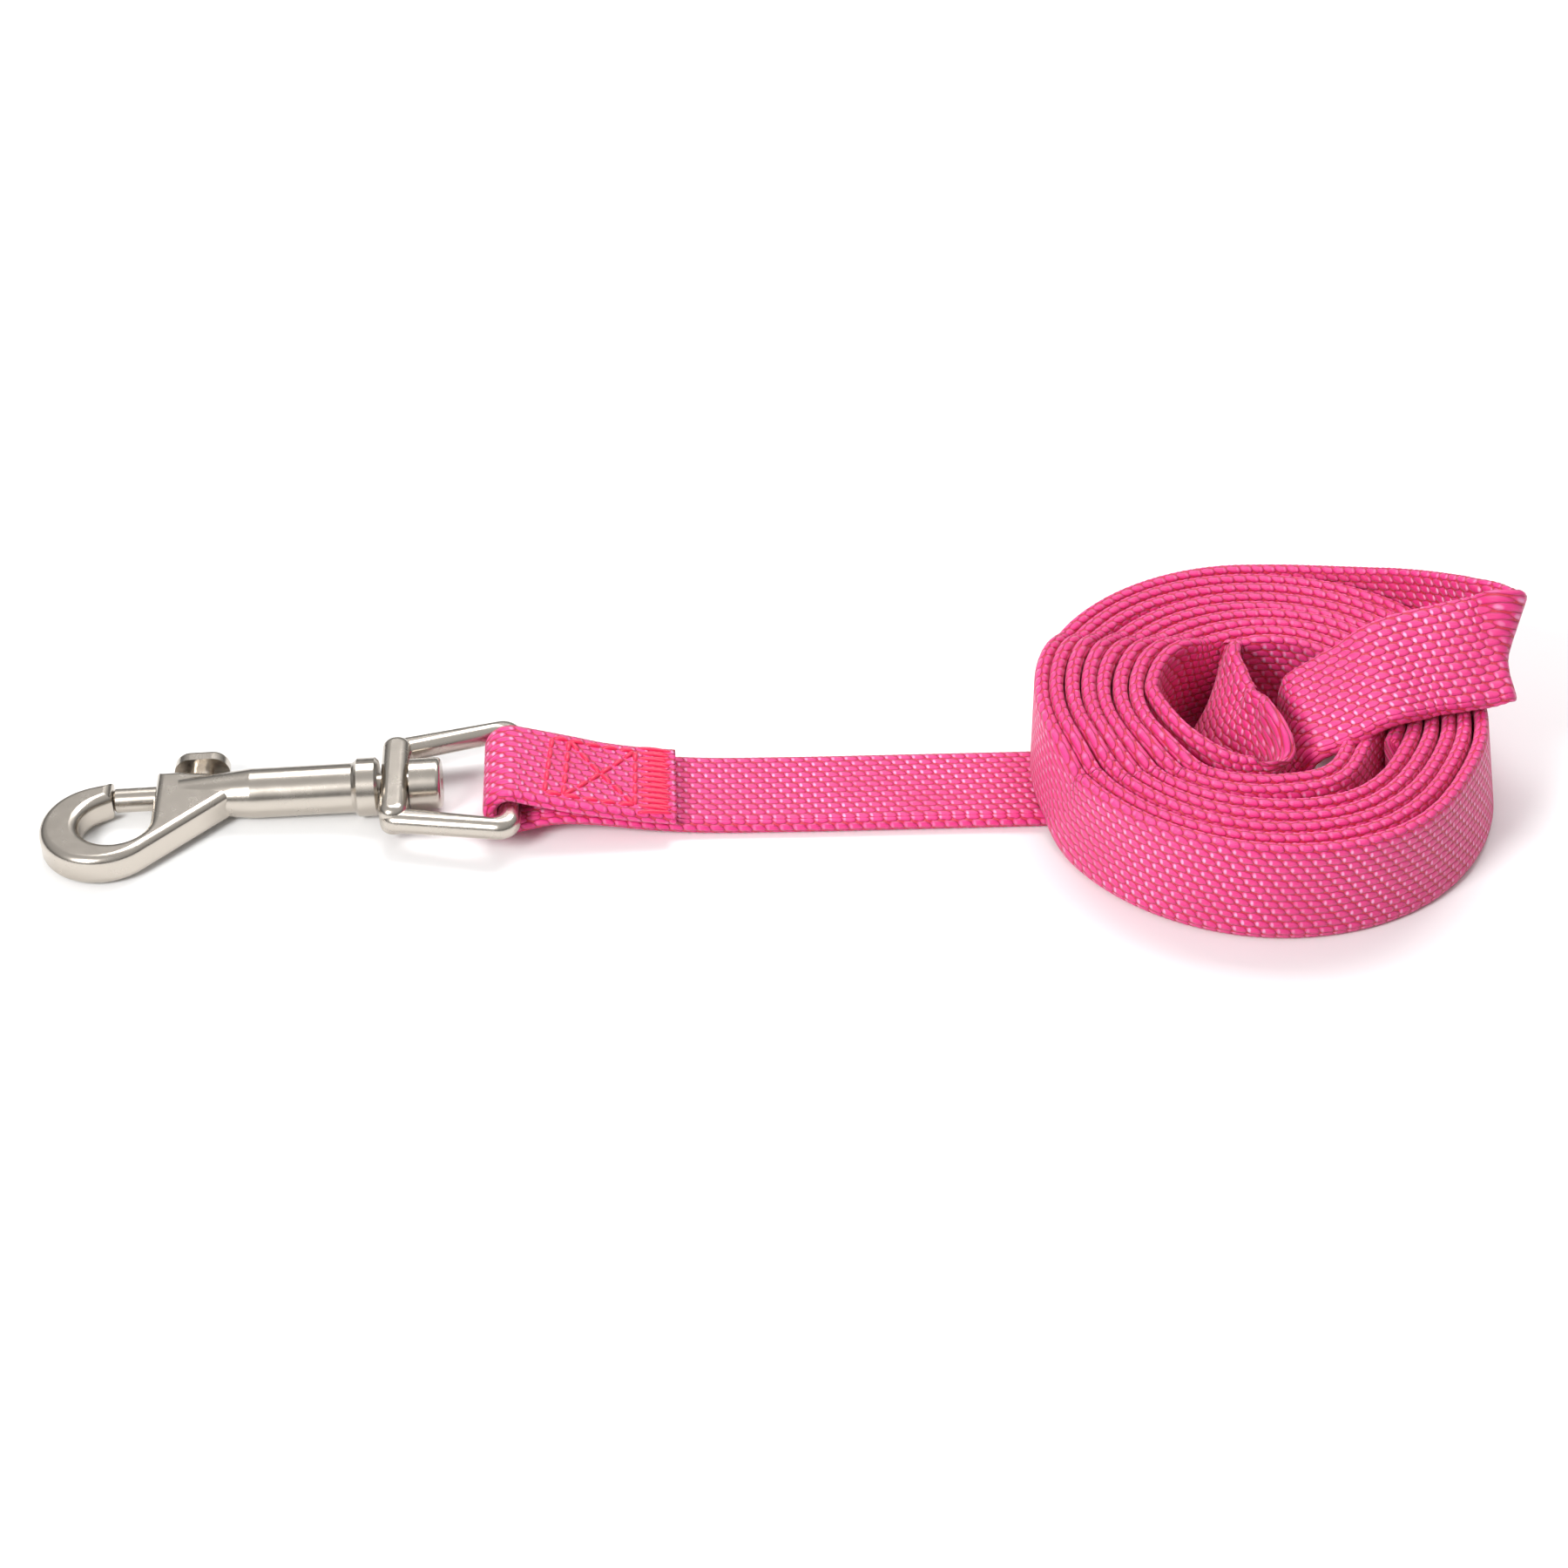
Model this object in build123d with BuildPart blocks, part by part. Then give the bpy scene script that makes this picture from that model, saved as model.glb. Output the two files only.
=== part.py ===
from build123d import *
from math import asin, atan2, cos, degrees, hypot, pi, radians, sin
import os

os.makedirs("parts", exist_ok=True)

# A webbing training leash laid down for storage. A swivel bolt snap hangs in the sewn end of the
# webbing; the webbing runs flat along X, passes under the coil, climbs out of its hollow, crosses
# the right-hand turns, folds back on itself and is wound inwards on edge. The hand loop at the
# other end is wound up with it and ends in an S in the middle.
# Millimetres, +X from the snap to the coil, +Z up, the floor is Z = 0.

# ---- driving dimensions: webbing ----
WEB_WIDTH = 19.0            # three-quarter inch webbing
WEB_THICK = 2.4
LAYER_PITCH = 2.67          # one layer of the coil to the next
HALF_WEB = WEB_THICK / 2

# ---- driving dimensions: coil, in degrees counted inwards along the winding ----
COIL_X = 81.4
COIL_Y = -0.7
OUTER_RADIUS = 40.0         # centre line of the webbing where the winding starts
COIL_START = 85.0
SINGLE_TURNS = 5
HAND_SEAM = 1765.0          # where the hand loop's cut end is sewn on
HAND_OUTER_END = 2350.0     # where the loop's outer layer leaves the winding
HAND_INNER_END = 2258.0     # where its inner layer leaves the winding
STEP_START = HAND_SEAM + 315.0
STEP_LENGTH = 45.0          # the winding steps in by one layer over the cut end
ARC_STEP = 30.0

# ---- driving dimensions: lead and sewn end ----
LEAD_CLEARANCE = 0.2
CHANNEL_END = COIL_X - 14.0
SEWN_END_X = -18.8
SEAM_START_X = -39.0

# ---- driving dimensions: snap, in its own frame: X along its axis, 0 at the collar's end ----
SNAP_X = -68.1
SNAP_TILT = 2.35            # the collar and the hook's tip both touch the floor
COLLAR_RADIUS = 4.95
COLLAR_LENGTH = 3.9
BARREL_RADIUS = 4.2
BARREL_FRONT = -37.5
SHOULDER_REAR = -24.4
SHOULDER_RADIUS = 3.0
HOOK_THICK = 5.6
HOOK_CENTRE = (-45.6, -8.7)
HOOK_RADIUS = 10.4
THROAT_RADIUS = 6.0
THROAT_Y = -8.3
NOSE_X = -44.6
NOSE_HALF = 2.1
BOLT_RADIUS = 2.05
BOLT_CLEARANCE = 0.05
BOLT_TRAVEL = 8.0
BOLT_REAR = -21.5
CHAMBER_RADIUS = 3.15
CHAMBER_REAR = -0.8
CHAMBER_FRONT = BOLT_REAR - 1.6
TAB_X = -30.3
TAB_STEM_LENGTH = 4.0
TAB_STEM_WIDTH = 2.6
PIN_RADIUS = 2.2
PIN_CLEARANCE = 0.05
PIN_HEAD_RADIUS = 4.35
EYE_GAP = 0.3
EYE_PLATE = 4.8
EYE_PLATE_WIDTH = 23.4
EYE_BAR_RADIUS = 1.9
EYE_BAR_X = 22.1
EYE_HALF_WIDTH = 15.0
LOOP_CLEARANCE = 0.15
SPRING_WIRE = 0.45
SPRING_TURNS = 9

SNAP_Z = COLLAR_RADIUS * cos(radians(SNAP_TILT)) + 3.5 * sin(radians(SNAP_TILT)) + 0.02
SNAP_POSE = Location((SNAP_X, 0, SNAP_Z), (0, -SNAP_TILT, 0))
BAR_X = SNAP_X + EYE_BAR_X * cos(radians(SNAP_TILT))
BAR_Z = SNAP_Z + EYE_BAR_X * sin(radians(SNAP_TILT))


def coil_radius(angle):
    """Centre-line radius of the webbing after `angle` degrees of inward winding."""
    step = min(max((angle - STEP_START) / STEP_LENGTH, 0.0), 1.0)
    eased = step * step * (3 - 2 * step)
    return OUTER_RADIUS - LAYER_PITCH * (angle / 360 + eased)


def coil_point(angle, offset=0.0):
    """Plan position on the winding, `offset` outwards from the webbing's centre line."""
    radius = coil_radius(angle) + offset
    return (COIL_X + radius * cos(radians(angle)), COIL_Y + radius * sin(radians(angle)))


def winding_heading(angle):
    """Direction of the winding at `angle`, square to the turns' end faces."""
    return Vector(-sin(radians(angle)), cos(radians(angle)))


def section(centre, across, ahead):
    """Plane of a webbing cross-section: X across the strap, Z along it."""
    return Plane(origin=centre, x_dir=across, z_dir=ahead)


def headings(stations):
    """Direction of travel at each station, from its neighbours."""
    centres = [Vector(*centre) for centre, _ in stations]
    last = len(centres) - 1
    return [centres[min(i + 1, last)] - centres[max(i - 1, 0)] for i in range(last + 1)]


# ---- coiled webbing: bands standing on edge, one node for each turn ----
layers = [
    (f"coil_turn_{turn + 1}", max(COIL_START, HAND_SEAM - 360 * (SINGLE_TURNS - turn)),
     HAND_SEAM - 360 * (SINGLE_TURNS - 1 - turn), 0.0)
    for turn in range(SINGLE_TURNS)
]
layers.append(("hand_loop_outer_layer", HAND_SEAM, HAND_OUTER_END, 0.0))
layers.append(("hand_loop_inner_layer", HAND_SEAM, HAND_INNER_END, -LAYER_PITCH))

for name, start, end, offset in layers:
    arcs = round((end - start) / ARC_STEP)
    step = (end - start) / arcs
    with BuildPart() as layer:
        with BuildSketch():
            with BuildLine():
                for side in (offset - HALF_WEB, offset + HALF_WEB):
                    for k in range(arcs):
                        a = start + k * step
                        ThreePointArc(
                            coil_point(a, side), coil_point(a + step / 2, side), coil_point(a + step, side)
                        )
                Line(coil_point(start, offset - HALF_WEB), coil_point(start, offset + HALF_WEB))
                Line(coil_point(end, offset - HALF_WEB), coil_point(end, offset + HALF_WEB))
            make_face()
        extrude(amount=WEB_WIDTH)
        # the flat lead passes beneath the left-hand turns
        with Locations(((CHANNEL_END + COIL_X - 2 * OUTER_RADIUS) / 2, 0, 0)):
            Box(
                CHANNEL_END - COIL_X + 2 * OUTER_RADIUS, WEB_WIDTH + 2 * LEAD_CLEARANCE,
                2 * (WEB_THICK + LEAD_CLEARANCE), mode=Mode.SUBTRACT,
            )
    layer.part.label = name
    export_step(layer.part, f"parts/{name}.step")

# ---- free stretches of webbing: straight-sided lofts through cross-sections ----
flat = (0, 1, 0)
bend_station = ((86.2, -1.9, 17.4), (-0.01, 0.98, 0.2))
fold_station = ((120.7, 2.8, 27.8), (2.0, 13.4, 12.9))
FOLD_RADIUS = 1.35

fold_across = Vector(*fold_station[1]).normalized()
fold_ahead = Vector(1, 0, 0) - fold_across * fold_across.X
fold_ahead = fold_ahead.normalized()
fold_back = fold_across.cross(fold_ahead)
fold_axis = Vector(*fold_station[0]) + fold_back * FOLD_RADIUS


def fold_section(angle):
    """Section of the sharp fold, `angle` degrees round it."""
    out = fold_ahead * sin(radians(angle)) - fold_back * cos(radians(angle))
    ahead = fold_ahead * cos(radians(angle)) + fold_back * sin(radians(angle))
    return (fold_axis + out * FOLD_RADIUS, fold_across, ahead)


rise_end = coil_point(COIL_START)
rise = [
    ((121.0, 9.4, 23.8), (0.0, 0.38, 0.92)),
    ((116.2, 19.5, 19.0), (-0.1, 0.2, 0.97)),
    ((109.7, 27.6, 15.2), (-0.12, 0.15, 0.98)),
    ((101.4, 33.9, 12.0), (-0.1, 0.08, 0.99)),
    ((93.1, 37.6, 10.1), (0.0, 0.0, 1.0)),
]
lead = [((SEWN_END_X, 0, HALF_WEB), flat), ((COIL_X - OUTER_RADIUS - 1, 0, HALF_WEB), flat)]
underpass = [lead[-1], ((64, 0, HALF_WEB), flat)]
riser = [
    underpass[-1],
    ((79.9, -0.3, 1.5), flat),
    ((84.1, -0.5, 5.2), flat),
    ((85.1, -0.8, 10.0), flat),
    ((85.4, -1.5, 14.2), (-0.01, 0.99, 0.12)),
    bend_station,
]
crossing = [
    bend_station,
    ((94.1, -1.7, 22.2), (0.01, 0.945, 0.32)),
    ((98.6, -1.6, 24.6), (0.04, 0.9, 0.43)),
    ((105.4, 0.3, 25.5), (-0.03, 0.83, 0.53)),
    ((111.5, 1.2, 26.3), (-0.05, 0.79, 0.62)),
    fold_station,
]
# the hand loop's bight: an S from its outer layer to its inner one, leaning over above the lead
layers_end = (*coil_point(HAND_OUTER_END), WEB_WIDTH / 2 + 2.8)
layers_back = (*coil_point(HAND_INNER_END, -LAYER_PITCH), WEB_WIDTH / 2)
upright = (0, 0, 1)
bight = [
    (layers_end, upright),
    ((65.4, -8.6, 12.4), upright),
    ((69.8, -12.6, 12.1), upright),
    ((74.7, -15.2, 10.2), upright),
    ((77.6, -15.2, 10.2), upright),
    ((78.6, -13.4, 11.8), (0.03, 0, 1)),
    ((78.6, -10.4, 14.2), (0.1, 0, 0.99)),
    ((76.8, -5.3, 13.0), (0.36, 0, 0.93)),
    ((74.6, -0.4, 11.6), (0.56, 0, 0.83)),
    ((73.6, 6.5, 12.2), (0.46, 0, 0.89)),
    ((74.8, 11.6, 12.2), (0.2, 0, 0.98)),
    ((75.5, 14.4, 10.0), upright),
    ((76.6, 16.0, 9.5), upright),
    (layers_back, upright),
]
ribbons = {
    "hand_loop_bight": bight,
    "webbing_lead": lead,
    "webbing_underpass": underpass,
    "webbing_riser": riser,
    "webbing_crossing": crossing,
}
for name, stations in ribbons.items():
    aheads = headings(stations)
    if name == "webbing_riser":
        aheads[0] = Vector(1, 0, 0)
        aheads[-1] = headings(crossing)[0]
    if name == "hand_loop_bight":
        aheads[0] = winding_heading(HAND_OUTER_END)
        aheads[-1] = -winding_heading(HAND_INNER_END)
    if name == "webbing_crossing":
        aheads[-1] = fold_ahead
    with BuildPart() as ribbon:
        for (centre, across), ahead in zip(stations, aheads):
            with BuildSketch(section(centre, across, ahead)):
                Rectangle(WEB_WIDTH, WEB_THICK)
        loft(ruled=True)
    ribbon.part.label = name
    export_step(ribbon.part, f"parts/{name}.step")

with BuildPart() as webbing_fold:
    for angle in range(0, 181, 45):
        with BuildSketch(section(*fold_section(angle))):
            Rectangle(WEB_WIDTH, WEB_THICK)
    loft(ruled=True)
webbing_fold.part.label = "webbing_fold"
export_step(webbing_fold.part, "parts/webbing_fold.step")

rise_sections = [fold_section(180)]
rise_centres = [Vector(*rise_sections[0][0])] + [Vector(*c) for c, _ in rise]
rise_centres.append(Vector(*rise_end, WEB_WIDTH / 2))
for i, (centre, across) in enumerate(rise, start=1):
    rise_sections.append((centre, across, rise_centres[i + 1] - rise_centres[i - 1]))
rise_sections.append((rise_centres[-1], upright, winding_heading(COIL_START)))
with BuildPart() as webbing_rise:
    for centre, across, ahead in rise_sections:
        with BuildSketch(section(centre, across, ahead)):
            Rectangle(WEB_WIDTH, WEB_THICK)
    loft(ruled=True)
webbing_rise.part.label = "webbing_rise"
export_step(webbing_rise.part, "parts/webbing_rise.step")

# ---- sewn end: the webbing turns round the eye's bar and is sewn back on itself ----
LOOP_INNER = EYE_BAR_RADIUS + LOOP_CLEARANCE
LOOP_OUTER = LOOP_INNER + WEB_THICK
with BuildPart() as webbing_eye_loop:
    with BuildSketch(Plane.XZ) as loop_profile:
        with BuildSketch(mode=Mode.PRIVATE) as loop_outline:
            with Locations((BAR_X, BAR_Z)):
                Circle(LOOP_OUTER)
            with Locations((SEWN_END_X - 0.5, WEB_THICK)):
                Rectangle(1, 2 * WEB_THICK)
        make_hull(loop_outline.sketch.edges())
        with BuildSketch(mode=Mode.PRIVATE) as loop_hole:
            with Locations((BAR_X, BAR_Z)):
                Circle(LOOP_INNER)
            with Locations((SEAM_START_X, BAR_Z - 0.8)):
                Circle(0.2)
        make_hull(loop_hole.sketch.edges(), mode=Mode.SUBTRACT)
    extrude(amount=WEB_WIDTH / 2, both=True)
webbing_eye_loop.part.label = "webbing_eye_loop"
export_step(webbing_eye_loop.part, "parts/webbing_eye_loop.step")

# ---- thread: short stitches lying on the sewn faces ----
STITCH = 2.2
THREAD = 0.7
THREAD_HEIGHT = 0.45
seam_top = Vector(SEWN_END_X, 0, 2 * WEB_THICK)
to_bar = Vector(BAR_X, 0, BAR_Z) - seam_top
seam_angle = atan2(to_bar.Z, -to_bar.X) + asin(LOOP_OUTER / to_bar.length)
seam_ahead = Vector(-cos(seam_angle), 0, sin(seam_angle))
seam_normal = Vector(sin(seam_angle), 0, cos(seam_angle))
seam_plane = Plane(origin=seam_top, x_dir=seam_ahead, z_dir=seam_normal)

BOX_NEAR = 7.4              # distances back from the flap's cut end
BOX_FAR = 21.2
BOX_HALF = 7.4
BOX_CROSS = 18.2            # the second line across the strap
with BuildPart() as eye_box_stitch:
    with BuildSketch(seam_plane):
        with Locations((BOX_NEAR, 0), (BOX_CROSS, 0), (BOX_FAR, 0)):
            with GridLocations(0, 2 * BOX_HALF / 5, 1, 5):
                SlotOverall(STITCH, THREAD, rotation=90)
        with Locations(((BOX_NEAR + BOX_FAR) / 2, 0)):
            with GridLocations((BOX_FAR - BOX_NEAR) / 4.6, 2 * BOX_HALF + 0.8, 5, 2):
                SlotOverall(STITCH, THREAD)
    extrude(amount=THREAD_HEIGHT)
eye_box_stitch.part.label = "eye_box_stitch"
export_step(eye_box_stitch.part, "parts/eye_box_stitch.step")

CROSS_MID = (BOX_NEAR + BOX_CROSS) / 2
CROSS_ANGLE = degrees(atan2(2 * BOX_HALF, BOX_CROSS - BOX_NEAR))
cross_places = [
    (CROSS_MID + d * cos(radians(CROSS_ANGLE)), turn * d * sin(radians(CROSS_ANGLE)), turn)
    for turn in (1, -1) for d in (-6.3, -3.4, 3.4, 6.3)
]
with BuildPart() as eye_cross_stitch:
    with BuildSketch(seam_plane):
        for x, y, turn in cross_places:
            with Locations((x, y)):
                SlotOverall(STITCH, THREAD, rotation=turn * CROSS_ANGLE)
        with Locations((CROSS_MID, 0)):
            SlotOverall(STITCH, THREAD, rotation=CROSS_ANGLE)
            SlotOverall(STITCH, THREAD, rotation=-CROSS_ANGLE)
    extrude(amount=THREAD_HEIGHT)
eye_cross_stitch.part.label = "eye_cross_stitch"
export_step(eye_cross_stitch.part, "parts/eye_cross_stitch.step")

TACK_STROKES = 11
with BuildPart() as eye_bar_tack:
    with BuildSketch(seam_plane):
        with Locations((BOX_NEAR / 2 - 0.3, 0)):
            with GridLocations(0, 1.55, 1, TACK_STROKES):
                SlotOverall(5.6, THREAD, rotation=4)
    extrude(amount=THREAD_HEIGHT)
eye_bar_tack.part.label = "eye_bar_tack"
export_step(eye_bar_tack.part, "parts/eye_bar_tack.step")

# hand loop seam: the same stitches, flattened between the turns of the coil
HAND_THREAD = 0.1
MM_PER_DEGREE = coil_radius(HAND_SEAM) * pi / 180
BOX_ROWS = (2.4, 5.95, 9.5, 13.05, 16.6)


def hand_plane(along, height):
    """Plane on the inner face of the hand loop's cut end, `along` mm from the end."""
    angle = HAND_SEAM + along / MM_PER_DEGREE
    x, y = coil_point(angle, -LAYER_PITCH - HALF_WEB - 0.04)
    inwards = (-cos(radians(angle)), -sin(radians(angle)), 0)
    return Plane(origin=(x, y, height), x_dir=(0, 0, 1), z_dir=inwards)


hand_stitches = {
    "hand_box_stitch": [(along, z, 0) for along in (8.4, 19.6, 22.6) for z in BOX_ROWS]
    + [(along, z, 90) for along in (11.2, 14.0, 16.8) for z in (BOX_ROWS[0], BOX_ROWS[-1])],
    "hand_cross_stitch": [
        (14.0 + k * 1.9, WEB_WIDTH / 2 + turn * k * 2.4, turn * 38) for turn in (1, -1) for k in (-2, -1, 1, 2)
    ],
    "hand_bar_tack": [(along, 2.0 + 1.5 * k, 90) for along in (3.2, 5.6) for k in range(TACK_STROKES)],
}
for name, places in hand_stitches.items():
    with BuildPart() as stitches:
        for along, height, turn in places:
            with BuildSketch(hand_plane(along, height)):
                SlotOverall(STITCH, THREAD, rotation=turn)
        extrude(amount=HAND_THREAD)
    stitches.part.label = name
    export_step(stitches.part, f"parts/{name}.step")

# ---- snap body: hook, shoulder and barrel in one casting ----
with BuildPart() as snap_body:
    with BuildSketch(Plane.XY.offset(-HOOK_THICK / 2)):
        with BuildSketch(mode=Mode.PRIVATE) as blank:
            with Locations(HOOK_CENTRE):
                Circle(HOOK_RADIUS)
            with Locations((BARREL_FRONT + 2, BARREL_RADIUS - 1)):
                Rectangle(4, 2)
            with Locations((SHOULDER_REAR - 1.5, 0)):
                Circle(SHOULDER_RADIUS)
        make_hull(blank.sketch.edges())
        with BuildSketch(mode=Mode.PRIVATE) as throat:
            with Locations((BARREL_FRONT - THROAT_RADIUS, THROAT_Y)):
                Circle(THROAT_RADIUS)
            with Locations(((NOSE_X + BARREL_FRONT) / 2, -NOSE_HALF)):
                Rectangle(BARREL_FRONT - NOSE_X, 0.1)
        make_hull(throat.sketch.edges(), mode=Mode.SUBTRACT)
        with Locations(((NOSE_X + BARREL_FRONT) / 2, 5 - NOSE_HALF)):
            Rectangle(BARREL_FRONT - NOSE_X, 10, mode=Mode.SUBTRACT)
    extrude(amount=HOOK_THICK)
    fillet(snap_body.faces().filter_by(Axis.Z).edges(), radius=1.5)
    with BuildSketch(Plane.XZ):
        with BuildLine():
            Polyline(
                (BARREL_FRONT + 4, 0), (BARREL_FRONT + 4, 3.0), (SHOULDER_REAR + 3, BARREL_RADIUS),
                (-COLLAR_LENGTH - 0.5, BARREL_RADIUS), (-COLLAR_LENGTH, COLLAR_RADIUS - 0.4),
                (-COLLAR_LENGTH + 0.4, COLLAR_RADIUS), (-0.5, COLLAR_RADIUS), (0, COLLAR_RADIUS - 0.5),
                (0, 0), close=True,
            )
        make_face()
    revolve(axis=Axis.X)
    # bore for the bolt, chamber for its head and spring, mouth for the swivel pin
    with BuildSketch(Plane.YZ.offset(NOSE_X + 1)):
        Circle(BOLT_RADIUS + BOLT_CLEARANCE)
    extrude(amount=-NOSE_X, mode=Mode.SUBTRACT)
    with BuildSketch(Plane.YZ.offset(CHAMBER_FRONT)):
        Circle(CHAMBER_RADIUS)
    extrude(amount=CHAMBER_REAR - CHAMBER_FRONT, mode=Mode.SUBTRACT)
    with BuildSketch(Plane.YZ.offset(CHAMBER_REAR)):
        Circle(PIN_RADIUS)
    extrude(amount=-CHAMBER_REAR, mode=Mode.SUBTRACT)
    # slot for the thumb tab's stem, on the side away from the hook
    slot_front = TAB_X - TAB_STEM_LENGTH / 2 - 0.3
    slot_rear = TAB_X + TAB_STEM_LENGTH / 2 + BOLT_TRAVEL + 0.3
    with BuildSketch(Plane.XZ):
        with Locations(((slot_front + slot_rear) / 2, 0)):
            Rectangle(slot_rear - slot_front, TAB_STEM_WIDTH + 0.3)
    extrude(amount=-BARREL_RADIUS - 1, mode=Mode.SUBTRACT)
snap_body.part.move(SNAP_POSE)
snap_body.part.label = "snap_body"
export_step(snap_body.part, "parts/snap_body.step")

# ---- bolt: the gate of the hook, with a head for the spring to push on ----
TAB_FOOT_RADIUS = 1.1
with BuildPart() as snap_bolt:
    with BuildSketch(Plane.YZ.offset(NOSE_X + 0.1)):
        Circle(BOLT_RADIUS)
    extrude(amount=BOLT_REAR - NOSE_X - 0.1)
    chamfer(snap_bolt.faces().sort_by(Axis.X)[0].edges(), length=0.35)
    with BuildSketch(Plane.YZ.offset(BOLT_REAR - 1.5)):
        Circle(CHAMBER_RADIUS - 0.1)
    extrude(amount=1.5)
    with BuildSketch(Plane.XZ):
        with Locations((TAB_X, 0)):
            Circle(TAB_FOOT_RADIUS)
    extrude(amount=-BOLT_RADIUS - 1, mode=Mode.SUBTRACT)
snap_bolt.part.move(SNAP_POSE)
snap_bolt.part.label = "snap_bolt"
export_step(snap_bolt.part, "parts/snap_bolt.step")

# ---- thumb tab: a stem through the slot with an oval button, pressed into the bolt ----
BUTTON_BASE = 6.4
BUTTON_HEIGHT = 2.8
with BuildPart() as thumb_tab:
    with BuildSketch(Plane.XZ):
        with Locations((TAB_X, 0)):
            Circle(TAB_FOOT_RADIUS)
    extrude(amount=-BOLT_RADIUS - 0.4)
    with BuildSketch(Plane.XZ.offset(-BOLT_RADIUS - 0.1)):
        with Locations((TAB_X, 0)):
            SlotOverall(TAB_STEM_LENGTH, TAB_STEM_WIDTH)
    extrude(amount=-(BUTTON_BASE - BOLT_RADIUS))
    with BuildSketch(Plane.XZ.offset(-BUTTON_BASE)):
        with Locations((TAB_X, 0)):
            SlotOverall(9.4, 5.8)
    extrude(amount=-BUTTON_HEIGHT)
    button_ends = thumb_tab.faces().filter_by(Axis.Y).sort_by(Axis.Y)[-1].edges()
    fillet(button_ends, radius=1.2)
thumb_tab.part.move(SNAP_POSE)
thumb_tab.part.label = "thumb_tab"
export_step(thumb_tab.part, "parts/thumb_tab.step")

# ---- spring behind the bolt's head ----
PLUG_LENGTH = 4.0
spring_front = BOLT_REAR + SPRING_WIRE / 2 + 0.02
spring_rear = CHAMBER_REAR - PLUG_LENGTH - SPRING_WIRE / 2 - 0.02
with BuildPart() as bolt_spring:
    with BuildLine() as spring_path:
        Helix(
            pitch=(spring_rear - spring_front) / SPRING_TURNS, height=spring_rear - spring_front,
            radius=CHAMBER_RADIUS - SPRING_WIRE / 2 - 0.15, center=(spring_front, 0, 0), direction=(1, 0, 0),
        )
    with BuildSketch(Plane(origin=spring_path.line @ 0, z_dir=spring_path.line % 0)):
        Circle(SPRING_WIRE / 2)
    sweep(is_frenet=True)
bolt_spring.part.move(SNAP_POSE)
bolt_spring.part.label = "bolt_spring"
export_step(bolt_spring.part, "parts/bolt_spring.step")

# ---- swivel pin: pressed into the barrel, its head turns inside the eye ----
HEAD_START = EYE_GAP + EYE_PLATE + 0.2
HEAD_LENGTH = 5.2
with BuildPart() as swivel_pin:
    with BuildSketch(Plane.YZ.offset(CHAMBER_REAR - PLUG_LENGTH)):
        Circle(CHAMBER_RADIUS)
    extrude(amount=PLUG_LENGTH)
    with BuildSketch(Plane.YZ.offset(CHAMBER_REAR)):
        Circle(PIN_RADIUS)
    extrude(amount=HEAD_START - CHAMBER_REAR)
    with BuildSketch(Plane.YZ.offset(HEAD_START)):
        Circle(PIN_HEAD_RADIUS)
    extrude(amount=HEAD_LENGTH)
    fillet(swivel_pin.faces().sort_by(Axis.X)[-1].edges(), radius=0.8)
    with BuildSketch(Plane.YZ.offset(HEAD_START + HEAD_LENGTH)):
        Circle(1.3)
    extrude(amount=-0.6, taper=40, mode=Mode.SUBTRACT)
swivel_pin.part.move(SNAP_POSE)
swivel_pin.part.label = "swivel_pin"
export_step(swivel_pin.part, "parts/swivel_pin.step")

# ---- swivel eye: a thick plate on the pin, two spreading arms and the bar for the webbing ----
EYE_END = EYE_BAR_X + EYE_BAR_RADIUS
EYE_WALL = 2 * EYE_BAR_RADIUS
with BuildPart() as swivel_eye:
    with BuildSketch(Plane.XY.offset(-EYE_BAR_RADIUS)):
        with BuildSketch(mode=Mode.PRIVATE) as eye_outside:
            with Locations((EYE_GAP + 3.4, 0)):
                with GridLocations(0, EYE_PLATE_WIDTH - 6.8, 1, 2):
                    Circle(3.4)
            with Locations((EYE_END - 3.6, 0)):
                with GridLocations(0, 2 * EYE_HALF_WIDTH - 7.2, 1, 2):
                    Circle(3.6)
        make_hull(eye_outside.sketch.edges())
        with BuildSketch(mode=Mode.PRIVATE) as eye_inside:
            with Locations((EYE_GAP + EYE_PLATE + 0.6, 0)):
                with GridLocations(0, EYE_PLATE_WIDTH - 2 * EYE_WALL - 2, 1, 2):
                    Circle(1)
            with Locations((EYE_END - EYE_WALL - 1, 0)):
                with GridLocations(0, 2 * EYE_HALF_WIDTH - 2 * EYE_WALL - 2, 1, 2):
                    Circle(1)
        make_hull(eye_inside.sketch.edges(), mode=Mode.SUBTRACT)
    extrude(amount=2 * EYE_BAR_RADIUS)
    fillet(swivel_eye.faces().filter_by(Axis.Z).edges(), radius=EYE_BAR_RADIUS - 0.15)
    with BuildPart(mode=Mode.PRIVATE) as eye_plate:
        with BuildSketch(Plane.XY.offset(-2.9)):
            with Locations((EYE_GAP + EYE_PLATE / 2, 0)):
                RectangleRounded(EYE_PLATE, EYE_PLATE_WIDTH - 2, 2.3)
        extrude(amount=5.8)
        fillet(eye_plate.faces().filter_by(Axis.Z).edges(), radius=1.6)
    add(eye_plate)
    with BuildSketch(Plane.YZ.offset(EYE_GAP - 0.5)):
        Circle(PIN_RADIUS + PIN_CLEARANCE)
    extrude(amount=EYE_PLATE + 1, mode=Mode.SUBTRACT)
swivel_eye.part.move(SNAP_POSE)
swivel_eye.part.label = "swivel_eye"
export_step(swivel_eye.part, "parts/swivel_eye.step")
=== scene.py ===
import math

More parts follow.
